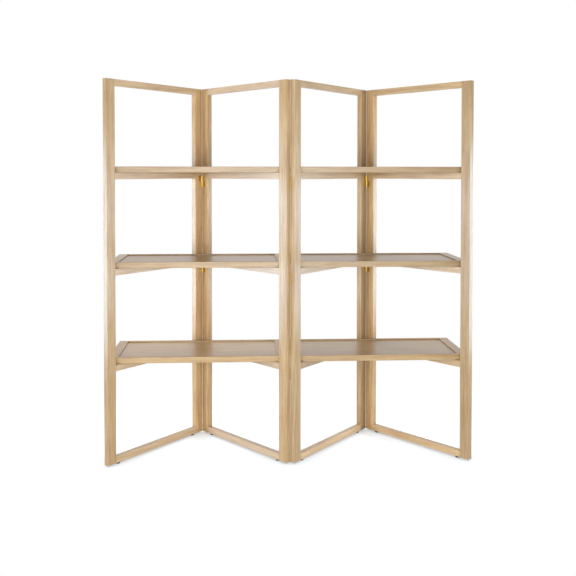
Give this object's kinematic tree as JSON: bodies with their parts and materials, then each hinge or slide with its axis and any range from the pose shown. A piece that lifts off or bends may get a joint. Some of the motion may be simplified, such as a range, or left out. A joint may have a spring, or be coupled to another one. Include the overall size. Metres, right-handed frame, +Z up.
{
  "type": "folding etagere",
  "caption": "Tall folding wooden etagere: hinged upright frames stand in a zigzag and carry loose shelves with breadboard ends.",
  "frame": {"origin": "on the floor, under the middle of the open piece's bounding box", "axes": "+Z up, +X along the width to the viewer's right, front faces -Y"},
  "size_m": [1.9506, 0.6204, 2.032],
  "materials": {
    "left_outer_posts": "clear satin lacquer",
    "left_outer_rails": "clear satin lacquer",
    "dowels": "bare beech, hidden",
    "glides": "black, moulded",
    "hinge_screws": "satin",
    "left_inner_posts": "clear satin lacquer",
    "left_inner_rails": "clear satin lacquer",
    "right_inner_posts": "clear satin lacquer",
    "right_inner_rails": "clear satin lacquer",
    "right_outer_posts": "clear satin lacquer",
    "right_outer_rails": "clear satin lacquer",
    "hinge_leaves": "satin",
    "shelf_panels": "clear satin lacquer",
    "shelf_edging": "clear satin lacquer"
  },
  "bodies": {
    "left_outer_frame": {"left_outer_front_post": "left_outer_posts", "left_outer_back_post": "left_outer_posts", "left_outer_bottom_rail": "left_outer_rails", "left_outer_lower_shelf_rail": "left_outer_rails", "left_outer_middle_shelf_rail": "left_outer_rails", "left_outer_upper_shelf_rail": "left_outer_rails", "left_outer_top_rail": "left_outer_rails", "left_outer_dowels": "dowels", "left_outer_glides": "glides", "left_outer_hinge_screws": "hinge_screws", "back_left_hinge_upper_leaves": "hinge_leaves"},
    "left_inner_frame": {"left_inner_back_post": "left_inner_posts", "left_inner_front_post": "left_inner_posts", "left_inner_bottom_rail": "left_inner_rails", "left_inner_lower_shelf_rail": "left_inner_rails", "left_inner_middle_shelf_rail": "left_inner_rails", "left_inner_upper_shelf_rail": "left_inner_rails", "left_inner_top_rail": "left_inner_rails", "left_inner_dowels": "dowels", "left_inner_glides": "glides", "left_inner_hinge_screws": "hinge_screws", "back_left_hinge_lower_leaves": "hinge_leaves", "centre_hinge_upper_leaves": "hinge_leaves"},
    "right_inner_frame": {"right_inner_front_post": "right_inner_posts", "right_inner_back_post": "right_inner_posts", "right_inner_bottom_rail": "right_inner_rails", "right_inner_lower_shelf_rail": "right_inner_rails", "right_inner_middle_shelf_rail": "right_inner_rails", "right_inner_upper_shelf_rail": "right_inner_rails", "right_inner_top_rail": "right_inner_rails", "right_inner_dowels": "dowels", "right_inner_glides": "glides", "right_inner_hinge_screws": "hinge_screws", "centre_hinge_lower_leaves": "hinge_leaves", "back_right_hinge_upper_leaves": "hinge_leaves"},
    "right_outer_frame": {"right_outer_back_post": "right_outer_posts", "right_outer_front_post": "right_outer_posts", "right_outer_bottom_rail": "right_outer_rails", "right_outer_lower_shelf_rail": "right_outer_rails", "right_outer_middle_shelf_rail": "right_outer_rails", "right_outer_upper_shelf_rail": "right_outer_rails", "right_outer_top_rail": "right_outer_rails", "right_outer_dowels": "dowels", "right_outer_glides": "glides", "right_outer_hinge_screws": "hinge_screws", "back_right_hinge_lower_leaves": "hinge_leaves"},
    "lower_left_shelf": {"lower_left_shelf_panel": "shelf_panels", "lower_left_shelf_edging": "shelf_edging"},
    "lower_right_shelf": {"lower_right_shelf_panel": "shelf_panels", "lower_right_shelf_edging": "shelf_edging"},
    "middle_left_shelf": {"middle_left_shelf_panel": "shelf_panels", "middle_left_shelf_edging": "shelf_edging"},
    "middle_right_shelf": {"middle_right_shelf_panel": "shelf_panels", "middle_right_shelf_edging": "shelf_edging"},
    "upper_left_shelf": {"upper_left_shelf_panel": "shelf_panels", "upper_left_shelf_edging": "shelf_edging"},
    "upper_right_shelf": {"upper_right_shelf_panel": "shelf_panels", "upper_right_shelf_edging": "shelf_edging"}
  },
  "joints": [
    {"name": "centre_fold", "type": "hinge", "parent": "left_inner_frame", "child": "right_inner_frame", "pos_m": [0, -0.2872, 1], "axis": [0, 0, 1], "range_deg": [0, 75]},
    {"name": "left_fold", "type": "hinge", "parent": "left_inner_frame", "child": "left_outer_frame", "pos_m": [-0.48791, 0.2872, 1], "axis": [0, 0, 1], "range_deg": [0, 75]},
    {"name": "right_fold", "type": "hinge", "parent": "right_inner_frame", "child": "right_outer_frame", "pos_m": [0.48791, 0.2872, 1], "axis": [0, 0, -1], "range_deg": [0, 75]},
    {"name": "lower_left_shelf_draw", "type": "slide", "parent": "left_inner_frame", "child": "lower_left_shelf", "axis": [-1, 0, 0], "range_m": [0, 0.41]},
    {"name": "lower_right_shelf_draw", "type": "slide", "parent": "right_inner_frame", "child": "lower_right_shelf", "axis": [1, 0, 0], "range_m": [0, 0.41]},
    {"name": "middle_left_shelf_draw", "type": "slide", "parent": "left_inner_frame", "child": "middle_left_shelf", "axis": [-1, 0, 0], "range_m": [0, 0.41]},
    {"name": "middle_right_shelf_draw", "type": "slide", "parent": "right_inner_frame", "child": "middle_right_shelf", "axis": [1, 0, 0], "range_m": [0, 0.41]},
    {"name": "upper_left_shelf_draw", "type": "slide", "parent": "left_inner_frame", "child": "upper_left_shelf", "axis": [-1, 0, 0], "range_m": [0, 0.41]},
    {"name": "upper_right_shelf_draw", "type": "slide", "parent": "right_inner_frame", "child": "upper_right_shelf", "axis": [1, 0, 0], "range_m": [0, 0.41]}
  ],
  "couplings": [
    {"joint": "lower_left_shelf_draw", "follows": "centre_fold", "m_per_rad": 0.31},
    {"joint": "lower_right_shelf_draw", "follows": "centre_fold", "m_per_rad": 0.31},
    {"joint": "middle_left_shelf_draw", "follows": "centre_fold", "m_per_rad": 0.31},
    {"joint": "middle_right_shelf_draw", "follows": "centre_fold", "m_per_rad": 0.31},
    {"joint": "upper_left_shelf_draw", "follows": "centre_fold", "m_per_rad": 0.31},
    {"joint": "upper_right_shelf_draw", "follows": "centre_fold", "m_per_rad": 0.31}
  ]
}
